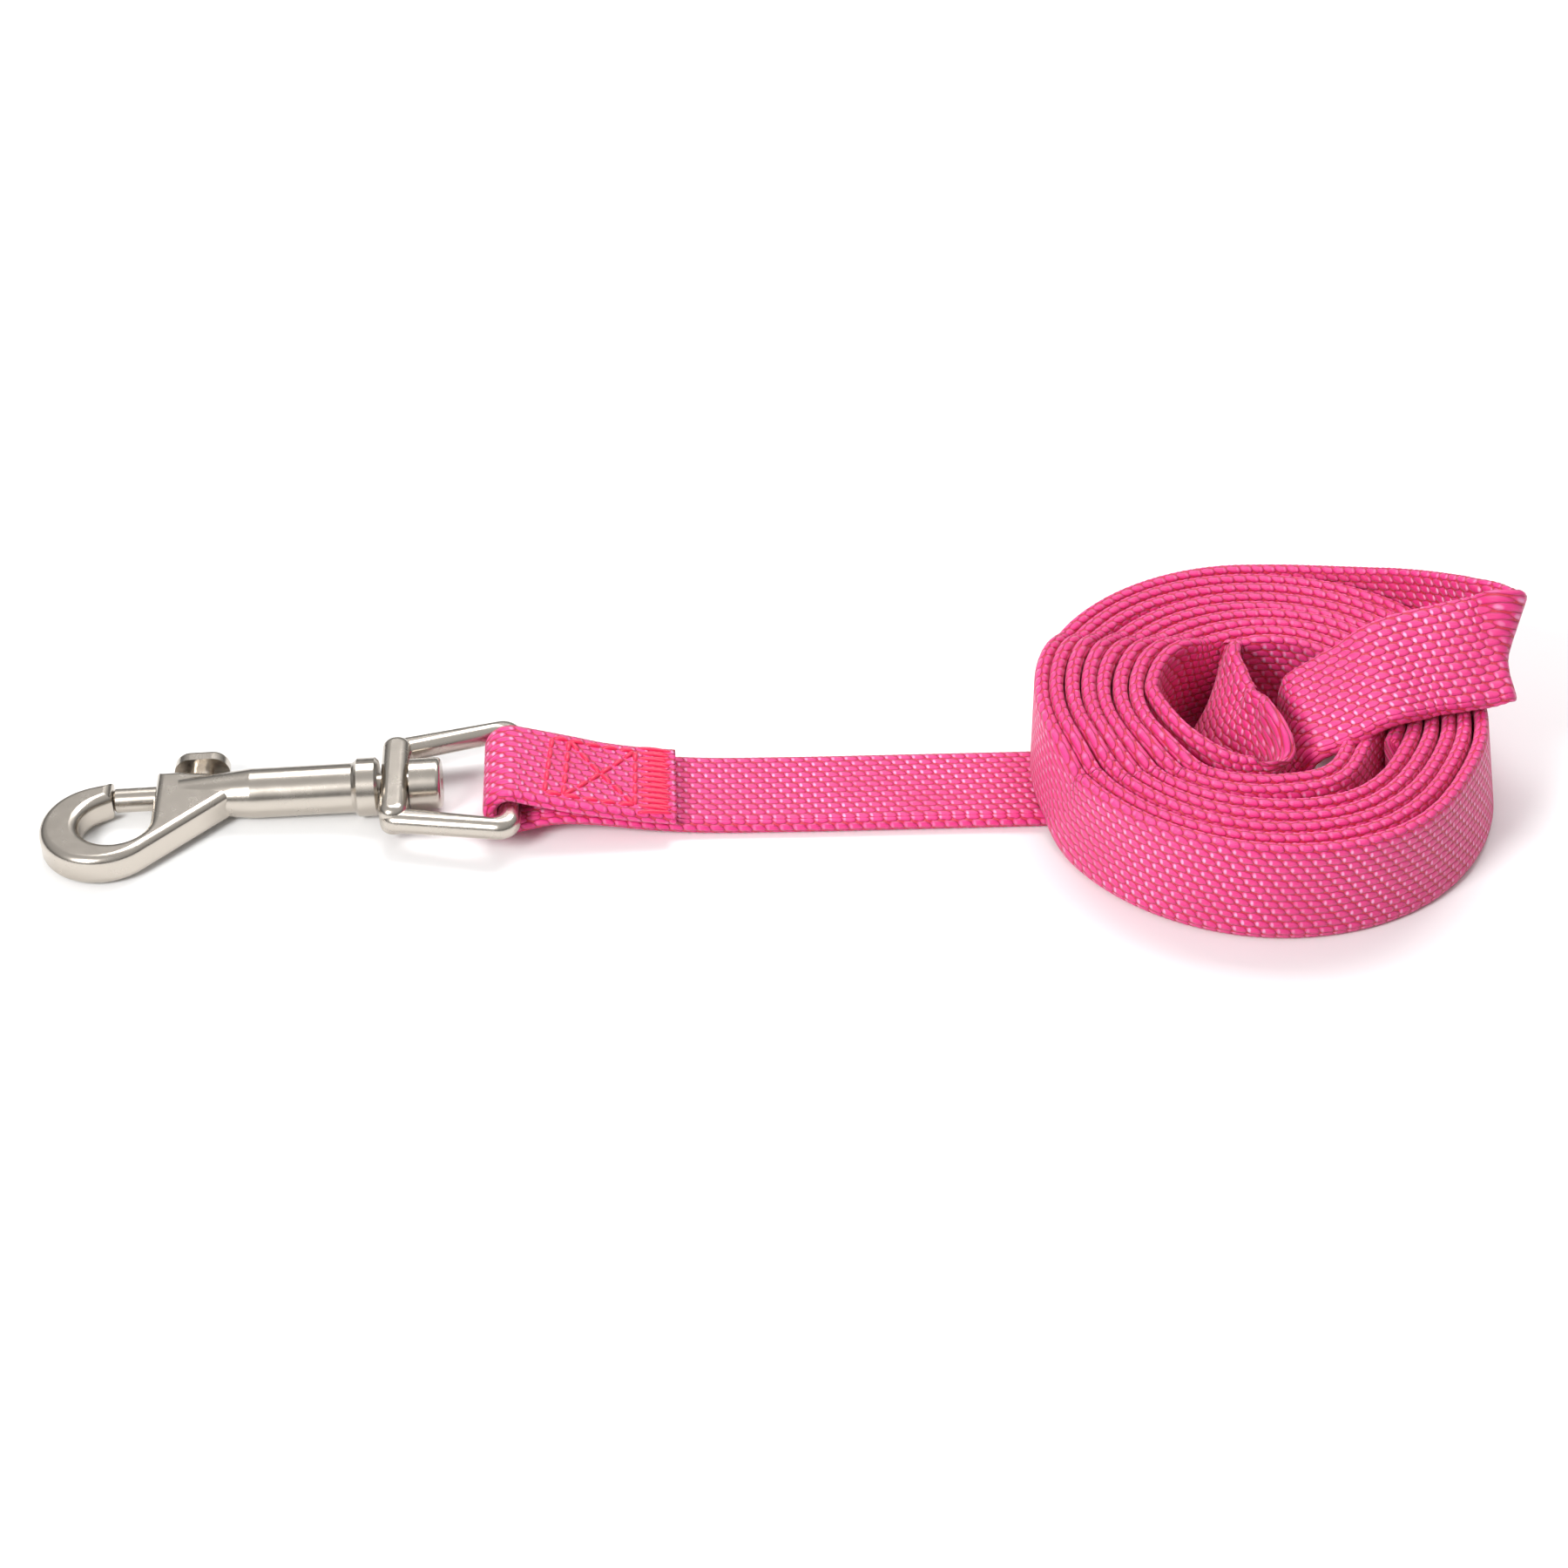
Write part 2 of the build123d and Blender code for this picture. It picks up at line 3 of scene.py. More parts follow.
import bmesh
import bpy
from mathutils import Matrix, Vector


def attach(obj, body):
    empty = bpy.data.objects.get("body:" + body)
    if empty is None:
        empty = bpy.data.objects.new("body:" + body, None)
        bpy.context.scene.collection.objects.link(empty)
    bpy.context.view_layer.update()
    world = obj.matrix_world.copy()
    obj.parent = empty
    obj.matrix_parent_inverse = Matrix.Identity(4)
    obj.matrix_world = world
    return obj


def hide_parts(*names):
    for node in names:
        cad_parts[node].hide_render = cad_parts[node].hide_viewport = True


# A pink webbing training leash, coiled on edge, with a swivel bolt snap sewn in its end.
# Lengths in this file are millimetres in the row frame until MM turns them into metres.

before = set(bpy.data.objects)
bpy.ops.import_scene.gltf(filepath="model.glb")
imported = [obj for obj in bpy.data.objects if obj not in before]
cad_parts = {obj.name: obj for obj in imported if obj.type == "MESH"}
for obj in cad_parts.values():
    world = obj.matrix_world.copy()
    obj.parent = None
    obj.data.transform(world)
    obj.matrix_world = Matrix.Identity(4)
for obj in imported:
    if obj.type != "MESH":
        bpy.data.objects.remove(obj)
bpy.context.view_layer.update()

MM = 0.001

# ---- webbing ----
WIDTH = 19.0
THICK = 2.4
PITCH = 2.67                    # one turn of the coil to the next
STEP = 0.575                    # from one cross-section of the strap to the next
ROW = 1.42                      # one row of the weave to the next, across the strap
COLUMN = 2.3                    # one column to the next, along it

# ---- coil, in degrees counted inwards along the winding ----
COIL = Vector((81.4, -0.7, 0))
OUTER = 40.0
HAND_SEAM = 1765.0              # the hand loop's sewn end
STEP_START = HAND_SEAM + 315    # where the doubled strap steps inwards by one more pitch
WINDING_FROM, WINDING_TO = 86, 2342
INNER_FROM = 2248               # the hand loop's inner layer runs back from here
ANGLE_STEP = 8
LIFT = 2.5                      # the left-hand turns ride up over the lead
CLEAR = 0.25                    # the coil's lower edge above the floor
TURNS_LEAN, HAND_LOOP_LEAN = 0.16, 0.11

UP = Vector((0, 0, 1))
FLAT = (0, 1, 0)

# ---- snap ----
TILT = math.radians(2.35)
SNAP = Vector((-68.1, 0, 5.109))
BAR_X = 22.1
BAR_RADIUS = 1.9


def smooth(x, a, b):
    """0 before a, 1 after b, eased between."""
    t = min(max((x - a) / (b - a), 0), 1)
    return t * t * (3 - 2 * t)


def snap_point(x, y=0.0, z=0.0):
    """A point of the snap's own frame in the row frame."""
    c, s = math.cos(TILT), math.sin(TILT)
    return SNAP + Vector((x * c - z * s, y, x * s + z * c))


def radius(angle):
    """Radius of the winding: a pitch less each turn, and one more where the strap is doubled."""
    return OUTER - PITCH * (angle / 360 + smooth(angle, STEP_START, STEP_START + 45))


def lift(x, y):
    """How far the coil is raised at a plan position, where the lead passes under it."""
    if x > COIL.x:
        return 0
    return LIFT * (1 - smooth(abs(y), 10.5, 19)) * (1 - smooth(x, 66, 76))


def wobble(angle):
    """Small unevenness of the hand-wound turns: radial offset and height."""
    a = math.radians(angle)
    return (
        0.12 * math.sin(a * 1.37 + 0.6) + 0.08 * math.sin(a * 2.9 + 2.0),
        0.22 * math.sin(a * 0.83 + 1.1) + 0.16 * math.sin(a * 2.13 + 0.4) + 0.1 * math.sin(a * 4.7),
    )


def leaning(angle):
    """Width direction on the winding: the right-hand turns lean in towards the hollow."""
    off = abs((angle + 14 + 180) % 360 - 180)
    lean = TURNS_LEAN * (1 - smooth(off, 12, 62)) * smooth(angle, 250, 330)
    # the hand loop's layers lean further in at the near right
    near = abs((angle + 66 + 180) % 360 - 180)
    lean += HAND_LOOP_LEAN * (1 - smooth(near, 10, 75)) * smooth(angle, 1950, 2060)
    a = math.radians(angle)
    return Vector((-math.cos(a) * lean, -math.sin(a) * lean, 1)).normalized()


def wound(angle, inwards=0.0):
    """Centre of the standing strap on the winding."""
    dr, dz = wobble(angle)
    dz = max(dz, -0.2) * min(1, angle / 300)
    r = radius(angle) - inwards + dr * min(1, angle / 200)
    a = math.radians(angle)
    p = COIL + Vector((math.cos(a) * r, math.sin(a) * r, 0)) + leaning(angle) * (WIDTH / 2)
    p.z = WIDTH / 2 + CLEAR + dz + lift(p.x, p.y)
    return p


# The strap's centre line from its flap end to the hand loop's cut end: (centre, width direction).
stations = []


def add(centre, across):
    stations.append((Vector(centre), Vector(across).normalized()))


# flap on top of the lead, the turn round the eye's bar, and the lower layer
bar = snap_point(BAR_X)
WRAP = BAR_RADIUS + 0.25 + THICK / 2
WRAP_FROM, WRAP_STEP, WRAP_COUNT = 62, 29, 8    # degrees round the bar
add((-18.4, -0.9, 4.2), FLAT)
add((-24.0, -0.9, 4.85), FLAT)
add((-30.7, -0.8, 6.0), FLAT)
add((-36.5, -0.6, 7.3), (0.0, 1, 0.02))
for step in range(WRAP_COUNT):
    a = math.radians(WRAP_FROM + step * WRAP_STEP)
    add((bar.x + math.cos(a) * WRAP, 0, bar.z + math.sin(a) * WRAP), (0, 1, 0.02))
add((-39.2, 0.2, 4.1), (0, 1, 0.03))
add((-35.0, 0.4, 4.0), (0, 1, 0.03))
add((-30.0, 0.5, 3.3), (0, 1, 0.02))
add((-24.0, 0.4, 2.35), (0, 1, 0.01))
add((-18.0, 0.3, 1.7), FLAT)
add((-11.0, 0.2, 1.35), FLAT)
add((-3.0, 0.1, 1.3), FLAT)
add((5.0, 0.0, 1.3), FLAT)
add((22.0, 0.0, 1.3), FLAT)
add((40.0, 0.0, 1.3), FLAT)
add((60.0, 0.0, 1.3), FLAT)
# up out of the hollow, over its rim and across the right-hand turns
add((71.0, -0.1, 1.3), FLAT)
add((79.4, -0.3, 1.7), FLAT)
add((83.4, -0.5, 4.6), FLAT)
add((84.7, -1.0, 9.6), FLAT)
add((85.3, -2.2, 14.0), (-0.08, 0.99, 0.12))
add((85.9, -3.3, 16.8), (-0.14, 0.975, 0.18))
add((86.9, -3.5, 18.1), (-0.16, 0.965, 0.21))
add((89.3, -3.2, 19.3), (-0.14, 0.955, 0.26))
add((93.9, -2.4, 21.7), (-0.08, 0.94, 0.33))
add((98.6, -1.6, 24.2), (0.04, 0.9, 0.43))
add((105.4, 0.4, 25.3), (-0.03, 0.83, 0.53))
add((111.5, 1.1, 26.1), (-0.05, 0.79, 0.62))
add((116.6, 1.9, 26.6), (0.1, 0.74, 0.67))
# the sharp fold
add((119.2, 2.3, 27.2), (0.3, 0.69, 0.66))
add((120.2, 3.2, 26.8), (0.34, 0.66, 0.67))
add((120.1, 5.4, 25.3), (0.32, 0.58, 0.75))
add((119.6, 9.3, 23.6), (0.18, 0.4, 0.9))
# down again on to the winding
DESCENT = (
    (23, 30.7), (30, 28.6), (38, 26.4), (46, 24.4),
    (54, 22.6), (62, 21.2), (70, 20.2), (78, 19.6),
)                               # angle, and height of the strap's upper edge
for angle, top in DESCENT:
    p = wound(angle)
    lean = 0.32 * (1 - smooth(angle, 12, 60))
    inwards = -math.cos(math.radians(angle)) * lean * 0.3
    across = Vector((inwards, lean * 0.8, 1)).normalized()
    p.z = top - across.z * WIDTH / 2
    add(p + Vector((0, -across.y * 1.2, 0)), across)
for angle in range(WINDING_FROM, WINDING_TO, ANGLE_STEP):
    add(wound(angle), leaning(angle))
# the hand loop's bight: an S in the middle, leaning over
add((64.6, -8.0, 12.0), UP)
add((68.3, -12.3, 11.0), UP)
add((72.8, -15.2, 10.0), UP)
add((76.2, -16.0, 9.9), UP)
add((78.9, -15.0, 10.4), (0.02, 0, 1))
add((80.0, -12.7, 11.6), (0.05, 0, 1))
add((79.4, -9.6, 13.6), (0.15, 0, 0.99))
add((77.4, -5.3, 13.0), (0.36, 0, 0.93))
add((74.4, -0.4, 12.1), (0.56, 0, 0.83))
add((73.4, 6.0, 12.3), (0.46, 0, 0.89))
add((74.4, 11.4, 11.6), (0.22, 0, 0.97))
add((75.4, 14.4, 10.0), UP)
add((76.6, 16.1, 9.8), UP)
add((79.0, 16.9, 9.7), UP)
for angle in range(INNER_FROM, int(HAND_SEAM) - 1, -ANGLE_STEP):
    add(wound(angle, PITCH), leaning(angle))

# a smooth curve through the stations, then even steps along it
def curve_point(i, t):
    """Centripetal Catmull-Rom between stations i and i + 1."""
    idx = [max(i - 1, 0), i, i + 1, min(i + 2, len(stations) - 1)]
    p = [stations[k][0] for k in idx]
    w = [stations[k][1] for k in idx]
    if idx[0] == idx[1]:
        p[0] = p[1] * 2 - p[2]
    if idx[2] == idx[3]:
        p[3] = p[2] * 2 - p[1]
    k = [0.0]
    for a, b in zip(p, p[1:]):
        k.append(k[-1] + max((b - a).length, 1e-6) ** 0.5)
    u = k[1] + t * (k[2] - k[1])

    def blend(a, b, ka, kb):
        return a * ((kb - u) / (kb - ka)) + b * ((u - ka) / (kb - ka))

    a1 = blend(p[0], p[1], k[0], k[1])
    a2 = blend(p[1], p[2], k[1], k[2])
    a3 = blend(p[2], p[3], k[2], k[3])
    b1 = blend(a1, a2, k[0], k[2])
    b2 = blend(a2, a3, k[1], k[3])
    c = blend(b1, b2, k[1], k[2])
    s = t * t * (3 - 2 * t)
    return c, (w[1] * (1 - s) + w[2] * s).normalized()


SPLITS = 12                     # points between two stations
dense = []
for i in range(len(stations) - 1):
    for j in range(SPLITS):
        dense.append(curve_point(i, j / SPLITS))
dense.append(stations[-1])

path = [dense[0]]
travelled = [0.0]
since = 0.0
for (p, w), (q, v) in zip(dense, dense[1:]):
    d = (q - p).length
    while since + d >= STEP:
        t = (STEP - since) / d
        p = p + (q - p) * t
        w = (w * (1 - t) + v * t).normalized()
        path.append((p.copy(), w.copy()))
        travelled.append(travelled[-1] + STEP)
        d = (q - p).length
        since = 0.0
    since += d
LENGTH = travelled[-1]
print("strap length mm", round(LENGTH, 1))

# cross-section: flat faces, rounded selvedges; (across, out) in mm
ACROSS = 27
EDGE_STEPS = 5
half_w, half_t = WIDTH / 2, THICK / 2
outline = []
for k in range(ACROSS):
    outline.append((-half_w + half_t + (WIDTH - THICK) * k / (ACROSS - 1), half_t))
for k in range(1, EDGE_STEPS + 1):
    a = math.pi / 2 - math.pi * k / (EDGE_STEPS + 1)
    outline.append((half_w - half_t + half_t * math.cos(a), half_t * math.sin(a)))
for k in range(ACROSS):
    outline.append((half_w - half_t - (WIDTH - THICK) * k / (ACROSS - 1), -half_t))
for k in range(1, EDGE_STEPS + 1):
    a = -math.pi / 2 - math.pi * k / (EDGE_STEPS + 1)
    outline.append((-half_w + half_t + half_t * math.cos(a), half_t * math.sin(a)))
around = [0.0]
for (a, b), (c, d) in zip(outline, outline[1:] + outline[:1]):
    around.append(around[-1] + math.hypot(c - a, d - b))
N = len(outline)


def finish_mesh(mesh):
    """Make an object of a closed mesh, with its normals outwards and smooth shading."""
    bm = bmesh.new()
    bm.from_mesh(mesh)
    bmesh.ops.recalc_face_normals(bm, faces=bm.faces)
    bm.to_mesh(mesh)
    bm.free()
    for polygon in mesh.polygons:
        polygon.use_smooth = True
    obj = bpy.data.objects.new(mesh.name, mesh)
    bpy.context.scene.collection.objects.link(obj)
    return obj


def strap_mesh(name):
    """The strap as one closed mesh, with (along, around) in mm as its UVs."""
    mesh = bpy.data.meshes.new(name)
    verts, faces, uvs = [], [], []
    for i, (p, w) in enumerate(path):
        ahead = (path[min(i + 1, len(path) - 1)][0] - path[max(i - 1, 0)][0]).normalized()
        w = (w - ahead * w.dot(ahead)).normalized()
        out = ahead.cross(w)
        s = travelled[i]
        for x, y in outline:
            # the selvedge swells a little at every column
            edge = smooth(abs(x), half_w - 1.6, half_w)
            swell = edge * 0.09 * math.sin(2 * math.pi * s / COLUMN)
            fuller = 1 + 0.05 * edge * math.sin(4 * math.pi * s / COLUMN)
            q = p + w * (x + math.copysign(swell, x)) + out * (y * fuller)
            verts.append(q * MM)
    for i in range(len(path) - 1):
        for j in range(N):
            a, b = i * N + j, i * N + (j + 1) % N
            faces.append((a, b, b + N, a + N))
            s0, s1 = travelled[i], travelled[i + 1]
            uvs += [(s0, around[j]), (s0, around[j + 1]), (s1, around[j + 1]), (s1, around[j])]
    for ring, turned in ((0, True), ((len(path) - 1) * N, False)):
        corners = [ring + j for j in range(N)]
        if turned:
            corners.reverse()
        faces.append(corners)
        uvs += [(travelled[ring // N], around[c - ring]) for c in corners]
    mesh.from_pydata(verts, [], faces)
    mesh.uv_layers.new(name="weave").data.foreach_set("uv", [c for uv in uvs for c in uv])
    mesh.validate()
    return finish_mesh(mesh)


strap = strap_mesh("strap")
stretches = ("webbing_", "coil_turn_", "hand_loop_")
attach(strap, "strap")
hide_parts(*[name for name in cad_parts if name.startswith(stretches)])


# ---- materials ----
class Nodes:
    """Short hand for building a material's node tree."""

    def __init__(self, name):
        self.material = bpy.data.materials.new(name)
        self.material.use_nodes = True
        self.tree = self.material.node_tree
        self.tree.nodes.clear()
        self.out = self.add("ShaderNodeOutputMaterial")
        self.shader = self.add("ShaderNodeBsdfPrincipled")
        self.link(self.shader.outputs[0], self.out.inputs[0])

    def add(self, kind, **values):
        node = self.tree.nodes.new(kind)
        for key, value in values.items():
            setattr(node, key, value)
        return node

    def link(self, a, b):
        self.tree.links.new(a, b)

    def math(self, operation, a, b=None, c=None):
        node = self.add("ShaderNodeMath", operation=operation)
        for i, value in enumerate((a, b, c)):
            if value is None:
                continue
            if isinstance(value, (int, float)):
                node.inputs[i].default_value = value
            else:
                self.link(value, node.inputs[i])
        return node.outputs[0]

    def mix(self, factor, a, b):
        node = self.add("ShaderNodeMix", data_type="RGBA")
        # sockets 6 and 7 are the two colours
        for index, value in ((0, factor), (6, a), (7, b)):
            socket = node.inputs[index]
            if isinstance(value, (int, float)):
                socket.default_value = value
            elif isinstance(value, tuple):
                socket.default_value = (*value, 1)
            else:
                self.link(value, socket)
        return node.outputs[2]


# sRGB colours; the palest pink is a painted highlight on the yarns' crowns, the darkest painted
# shade in the weave's hollows
HOLLOW_SHADE_PINK, BODY_PINK, HIGHLIGHT_PINK = (206, 10, 64), (236, 44, 132), (248, 172, 216)
THREAD_PINK = (226, 20, 78)
NICKEL_TONE, STEEL_TONE = (194, 186, 176), (150, 150, 152)


def linear(r, g, b):
    """An sRGB 0-255 colour as linear values."""
    return tuple(
        ((c / 255 + 0.055) / 1.055) ** 2.4 if c > 10 else c / 255 / 12.92 for c in (r, g, b)
    )


def webbing_material():
    n = Nodes("hot pink webbing")
    uv = n.add("ShaderNodeUVMap", uv_map="weave")
    split = n.add("ShaderNodeSeparateXYZ")
    n.link(uv.outputs[0], split.inputs[0])
    along, cross = split.outputs[0], split.outputs[1]
    fine, coarse = n.add("ShaderNodeTexNoise"), n.add("ShaderNodeTexNoise")
    for noise, scale in ((fine, 0.8), (coarse, 0.06)):
        noise.inputs["Scale"].default_value = scale
        noise.inputs["Detail"].default_value = 3
        n.link(uv.outputs[0], noise.inputs["Vector"])

    # full oval floats in rows along the strap, every second row set half a column on
    shake = n.math("MULTIPLY", n.math("SUBTRACT", fine.outputs[0], 0.5), 0.3)
    row = n.math("ADD", n.math("DIVIDE", cross, ROW), shake)
    row_index = n.math("FLOOR", row)
    v = n.math("SUBTRACT", n.math("FRACT", row), 0.5)
    stagger = n.math("MULTIPLY", n.math("PINGPONG", row_index, 1.0), 0.5)
    slant = n.math("MULTIPLY", v, 0.35)
    column = n.math("ADD", n.math("DIVIDE", along, COLUMN), n.math("ADD", stagger, slant))
    u = n.math("SUBTRACT", n.math("FRACT", column), 0.5)
    du = n.math("POWER", n.math("ABSOLUTE", n.math("MULTIPLY", u, 1.96)), 2.4)
    dv = n.math("POWER", n.math("ABSOLUTE", n.math("MULTIPLY", v, 1.94)), 2.2)
    full = n.math("SUBTRACT", 1.0, n.math("MINIMUM", n.math("ADD", du, dv), 1.0))
    height = n.math("POWER", full, 0.5)
    phase = n.math("MULTIPLY", n.math("ADD", v, n.math("MULTIPLY", u, 0.3)), 20.0)
    filament = n.math("ABSOLUTE", n.math("SINE", phase))
    relief = n.math("ADD", height, n.math("MULTIPLY", filament, 0.08))

    # a painted highlight: a pale slanted dash of glint across one end of every float
    glint_u = n.math("ADD", u, 0.3)
    long = n.math("DIVIDE", v, 0.42)
    thin = n.math("DIVIDE", n.math("SUBTRACT", glint_u, n.math("MULTIPLY", v, 0.3)), 0.14)
    away = n.math("ADD", n.math("MULTIPLY", long, long), n.math("MULTIPLY", thin, thin))
    glint = n.math("MAXIMUM", n.math("SUBTRACT", 1.0, away), 0.0)
    # the painted highlight is fainter on the selvedges
    selvedge = around[ACROSS - 1] + half_t * math.pi / 2
    from_selvedge = n.math("PINGPONG", n.math("SUBTRACT", cross, selvedge), around[-1] / 4)
    face = n.math("MINIMUM", n.math("MAXIMUM", n.math("SUBTRACT", from_selvedge, 1.2), 0.3), 1.0)
    glint = n.math("MULTIPLY", glint, face)
    # the painted highlight comes and goes in broad random patches
    patchy = n.math("SUBTRACT", n.math("MULTIPLY", coarse.outputs[0], 3.6), 0.95)
    patchy = n.math("MAXIMUM", patchy, 0.3)
    strength = n.math("MULTIPLY", patchy, n.math("ADD", fine.outputs[0], 0.4))
    glint = n.math("MINIMUM", n.math("MULTIPLY", glint, strength), 1.0)

    hollow_shade, body, highlight = linear(*HOLLOW_SHADE_PINK), linear(*BODY_PINK), linear(*HIGHLIGHT_PINK)
    # painted shade: the colour darkens where the weave's relief is low, in the hollows between the
    # floats
    base = n.mix(n.math("MINIMUM", n.math("MULTIPLY", height, 1.5), 1.0), hollow_shade, body)
    # the painted highlight laid over the base colour
    base = n.mix(glint, base, highlight)
    tone = n.add("ShaderNodeHueSaturation")
    n.link(base, tone.inputs["Color"])
    value = n.math("ADD", n.math("MULTIPLY", coarse.outputs[0], 0.18), 0.91)
    n.link(value, tone.inputs["Value"])
    n.link(tone.outputs[0], n.shader.inputs["Base Color"])
    rough = n.math("SUBTRACT", 0.5, n.math("MULTIPLY", glint, 0.15))
    n.link(rough, n.shader.inputs["Roughness"])
    n.shader.inputs["Specular IOR Level"].default_value = 0.7
    n.shader.inputs["Sheen Weight"].default_value = 0.16
    n.shader.inputs["Sheen Roughness"].default_value = 0.4
    bump_node = n.add("ShaderNodeBump")
    bump_node.inputs["Strength"].default_value = 1.0
    bump_node.inputs["Distance"].default_value = 0.00046
    n.link(relief, bump_node.inputs["Height"])
    n.link(bump_node.outputs[0], n.shader.inputs["Normal"])
    return n.material


def thread_material():
    n = Nodes("deep pink thread")
    n.shader.inputs["Base Color"].default_value = (*linear(*THREAD_PINK), 1)
    n.shader.inputs["Roughness"].default_value = 0.42
    n.shader.inputs["Sheen Weight"].default_value = 0.2
    return n.material


def metal_material(name, tone, rough):
    n = Nodes(name)
    noise = n.add("ShaderNodeTexNoise")
    noise.inputs["Scale"].default_value = 420
    noise.inputs["Detail"].default_value = 3
    where = n.add("ShaderNodeTexCoord")
    n.link(where.outputs["Object"], noise.inputs["Vector"])
    n.shader.inputs["Base Color"].default_value = (*linear(*tone), 1)
    n.shader.inputs["Metallic"].default_value = 1
    uneven = n.math("ADD", n.math("MULTIPLY", noise.outputs[0], 0.1), rough - 0.05)
    n.link(uneven, n.shader.inputs["Roughness"])
    bump = n.add("ShaderNodeBump")
    bump.inputs["Strength"].default_value = 0.05
    bump.inputs["Distance"].default_value = 0.0002
    n.link(noise.outputs[0], bump.inputs["Height"])
    n.link(bump.outputs[0], n.shader.inputs["Normal"])
    return n.material


WEBBING = webbing_material()
THREAD = thread_material()
NICKEL = metal_material("nickel plate", NICKEL_TONE, 0.26)
STEEL = metal_material("spring steel", STEEL_TONE, 0.35)
CREASE = 32                     # degrees; sharper edges of the metal stay crisp
strap.data.materials.append(WEBBING)
for name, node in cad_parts.items():
    material = WEBBING
    if name.endswith(("_stitch", "_tack")):
        material = THREAD
    elif name == "bolt_spring":
        material = STEEL
    elif name.startswith(("snap", "thumb", "swivel")):
        material = NICKEL
    node.data.materials.clear()
    node.data.materials.append(material)
    if material in (NICKEL, STEEL):
        for polygon in node.data.polygons:
            polygon.use_smooth = True
        node.data.set_sharp_from_angle(angle=math.radians(CREASE))

# ---- thread: every stitch is a short arc of thread that dives into the cloth at both ends ----
THREAD_RADIUS = 0.42
HIDDEN_RADIUS = 0.2             # the hand loop's seam lies between two turns
SIDES, SEGMENTS = 7, 8
TACK_STITCHES = 24
DIVE = 0.3                      # how deep a stitch's ends go into the cloth


def on_strap(along, across, out):
    """A point by the strap: mm from the flap's end, across it, and out from its middle surface."""
    i = min(int(along / STEP), len(path) - 2)
    t = along / STEP - i
    (p, w), (q, v) = path[i], path[i + 1]
    ahead = (path[min(i + 3, len(path) - 1)][0] - path[max(i - 2, 0)][0]).normalized()
    w = (w * (1 - t) + v * t).normalized()
    w = (w - ahead * w.dot(ahead)).normalized()
    return p.lerp(q, t) + w * across + ahead.cross(w) * out


def thread_piece(name, stitches, face, bulge, thread_radius, node):
    """Stitches are (along, across, along, across); face is +1 or -1, the side they lie on."""
    verts, faces = [], []
    for s0, x0, s1, x1 in stitches:
        line = []
        for k in range(SEGMENTS + 1):
            t = k / SEGMENTS
            out = half_t - DIVE + bulge * math.sin(math.pi * t) ** 0.6
            line.append(on_strap(s0 + (s1 - s0) * t, x0 + (x1 - x0) * t, face * out))
        first = len(verts)
        for k, p in enumerate(line):
            ahead = (line[min(k + 1, SEGMENTS)] - line[max(k - 1, 0)]).normalized()
            outwards = (on_strap(s0, x0, face * 3) - on_strap(s0, x0, face)).normalized()
            beside = ahead.cross(outwards).normalized()
            up = beside.cross(ahead)
            swell = thread_radius * (0.75 + 0.25 * math.sin(math.pi * k / SEGMENTS))
            for j in range(SIDES):
                a = 2 * math.pi * j / SIDES
                rim = beside * math.cos(a) * 1.15 + up * math.sin(a) * 0.85
                verts.append((p + rim * swell) * MM)
        for k in range(SEGMENTS):
            for j in range(SIDES):
                a, b = first + k * SIDES + j, first + k * SIDES + (j + 1) % SIDES
                faces.append((a, b, b + SIDES, a + SIDES))
        faces.append([first + j for j in reversed(range(SIDES))])
        faces.append([first + SEGMENTS * SIDES + j for j in range(SIDES)])
    mesh = bpy.data.meshes.new(name)
    mesh.from_pydata(verts, [], faces)
    mesh.materials.append(THREAD)
    obj = finish_mesh(mesh)
    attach(obj, "strap")
    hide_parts(node)


def stitch_row(s0, x0, s1, x1, count):
    """A row of stitches from one point of the strap to another."""
    row = []
    for k in range(count):
        a, b = (k + 0.06) / count, (k + 0.94) / count
        row.append((s0 + (s1 - s0) * a, x0 + (x1 - x0) * a, s0 + (s1 - s0) * b, x0 + (x1 - x0) * b))
    return row


def seam(s_tack, s_near, s_mid, s_far, half):
    """The box, cross and bar tack that sew a strap end down."""
    box = stitch_row(s_near, -half, s_near, half, 5)
    box += stitch_row(s_mid, half, s_mid, -half, 5)
    box += stitch_row(s_far, -half, s_far, half, 5)
    for side in (-half, half):
        box += stitch_row(s_near, side, s_far, side, 5)
    cross = stitch_row(s_near, -half, s_mid, half, 6) + stitch_row(s_near, half, s_mid, -half, 6)
    tack = []
    for k in range(TACK_STITCHES):
        x = -half - 1.2 + (2 * half + 1.8) * k / (TACK_STITCHES - 1)
        start = s_tack + 0.35 * math.sin(k * 2.4)
        end = s_near - 0.5 + 0.2 * math.sin(k * 1.7)
        tack.append((start, x, end, x + (0.5 if k % 2 else -0.35)))
    return box, cross, tack


eye_box, eye_cross, eye_tack = seam(0.9, 7.0, 18.8, 21.8, 7.4)
thread_piece("eye_box_thread", eye_box, -1, 0.42, THREAD_RADIUS, "eye_box_stitch")
thread_piece("eye_cross_thread", eye_cross, -1, 0.42, THREAD_RADIUS, "eye_cross_stitch")
thread_piece("eye_tack_thread", eye_tack, -1, 0.4, THREAD_RADIUS * 0.85, "eye_bar_tack")


def flip(stitches):
    """The same stitches counted from the strap's other end."""
    return [(LENGTH - a, b, LENGTH - c, d) for a, b, c, d in stitches]


hand_box, hand_cross, hand_tack = seam(1.2, 7.2, 19.0, 22.0, 7.2)
thread_piece("hand_box_thread", flip(hand_box), 1, 0.3, HIDDEN_RADIUS, "hand_box_stitch")
thread_piece("hand_cross_thread", flip(hand_cross), 1, 0.3, HIDDEN_RADIUS, "hand_cross_stitch")
thread_piece("hand_tack_thread", flip(hand_tack), 1, 0.3, HIDDEN_RADIUS, "hand_bar_tack")

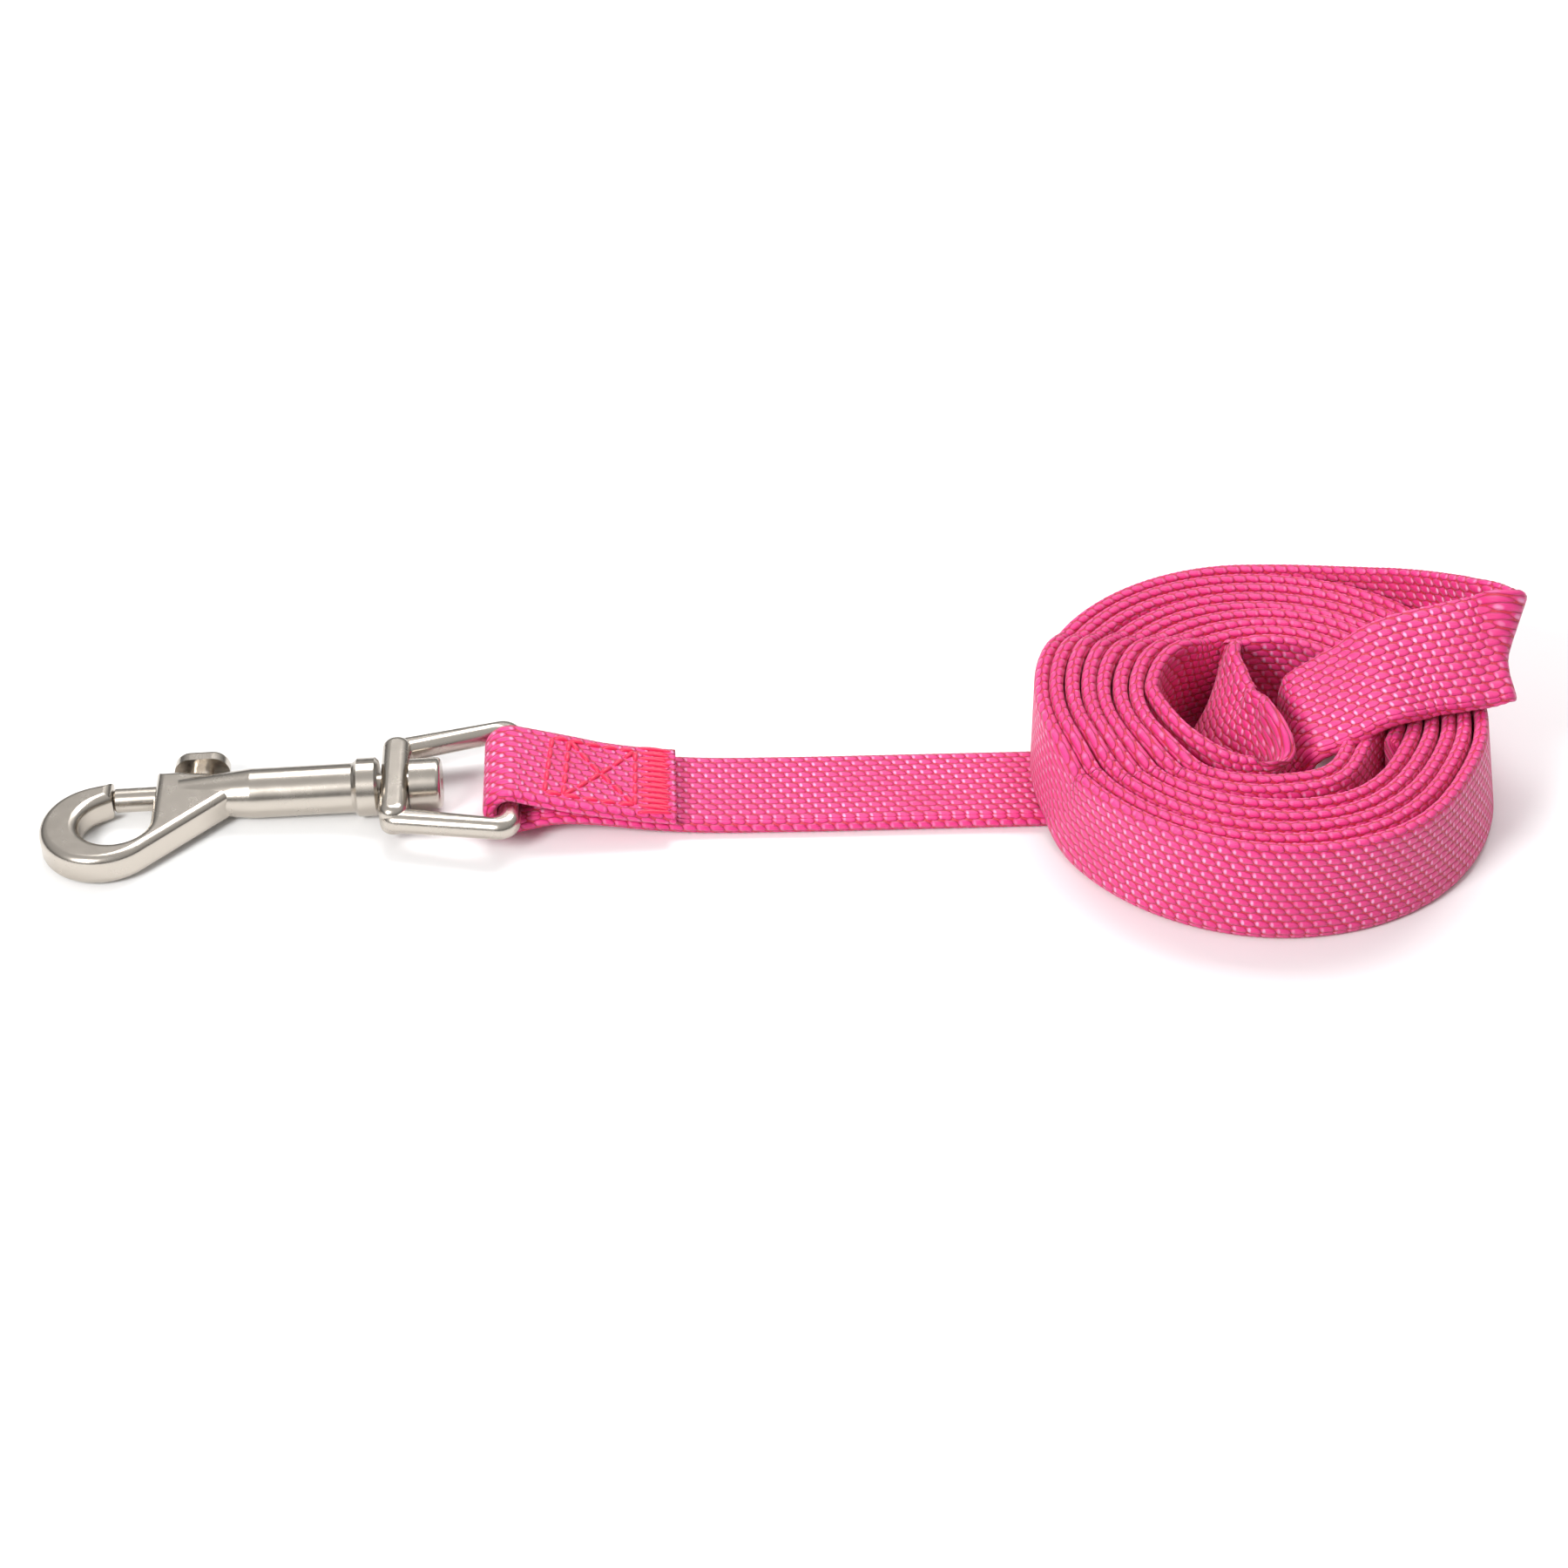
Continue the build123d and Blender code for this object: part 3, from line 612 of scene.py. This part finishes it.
# ---- camera, floor and light ----
camera_data = bpy.data.cameras.new("camera")
camera = bpy.data.objects.new("camera", camera_data)
bpy.context.scene.collection.objects.link(camera)
camera.location = Vector((-19.6, -507.3, 400.2)) * MM
aim = Vector((0.1, 4.5, 0)) * MM
camera.rotation_euler = (aim - camera.location).to_track_quat("-Z", "Y").to_euler()
camera_data.sensor_width = 36
camera_data.lens = 87.6
camera_data.clip_start = 0.01
bpy.context.scene.camera = camera

floor_mesh = bpy.data.meshes.new("floor")
floor_mesh.from_pydata([(-4, -4, 0), (4, -4, 0), (4, 4, 0), (-4, 4, 0)], [], [(0, 1, 2, 3)])
floor = bpy.data.objects.new("floor", floor_mesh)
bpy.context.scene.collection.objects.link(floor)
floor_nodes = Nodes("pale floor")
floor_nodes.shader.inputs["Base Color"].default_value = (0.91, 0.91, 0.91, 1)
floor_nodes.shader.inputs["Roughness"].default_value = 0.9
floor_mesh.materials.append(floor_nodes.material)

# a sky that is dark at the horizon, so that the metal has something to reflect, and pale above
SKY_STRENGTH = 0.6
world = bpy.data.worlds.new("world")
bpy.context.scene.world = world
world.use_nodes = True
sky = world.node_tree
background = sky.nodes["Background"]
background.inputs[1].default_value = SKY_STRENGTH
direction = sky.nodes.new("ShaderNodeTexCoord")
height = sky.nodes.new("ShaderNodeSeparateXYZ")
ramp = sky.nodes.new("ShaderNodeValToRGB")
sky.links.new(direction.outputs["Generated"], height.inputs[0])
sky.links.new(height.outputs[2], ramp.inputs[0])
sky.links.new(ramp.outputs[0], background.inputs[0])
low, high = ramp.color_ramp.elements
low.position, low.color = 0.0, (0.16, 0.155, 0.15, 1)
high.position, high.color = 0.75, (1, 1, 1, 1)
for place, value in ((0.22, 0.22), (0.42, 0.75)):
    stop = ramp.color_ramp.elements.new(place)
    stop.color = (value, value, value, 1)


def area_light(name, place, target, size, power):
    light = bpy.data.lights.new(name, "AREA")
    light.shape = "RECTANGLE"
    light.size, light.size_y = size
    light.energy = power
    obj = bpy.data.objects.new(name, light)
    obj.location = place
    aim_at = Vector(target) - Vector(place)
    obj.rotation_euler = aim_at.to_track_quat("-Z", "Y").to_euler()
    bpy.context.scene.collection.objects.link(obj)


area_light("key", (-0.45, -0.5, 0.5), (0.06, -0.03, 0), (0.22, 0.3), 5.6)
area_light("top", (0.1, 0.45, 0.8), (0, 0, 0), (0.7, 0.4), 6.0)
bpy.context.scene.view_settings.view_transform = "Standard"
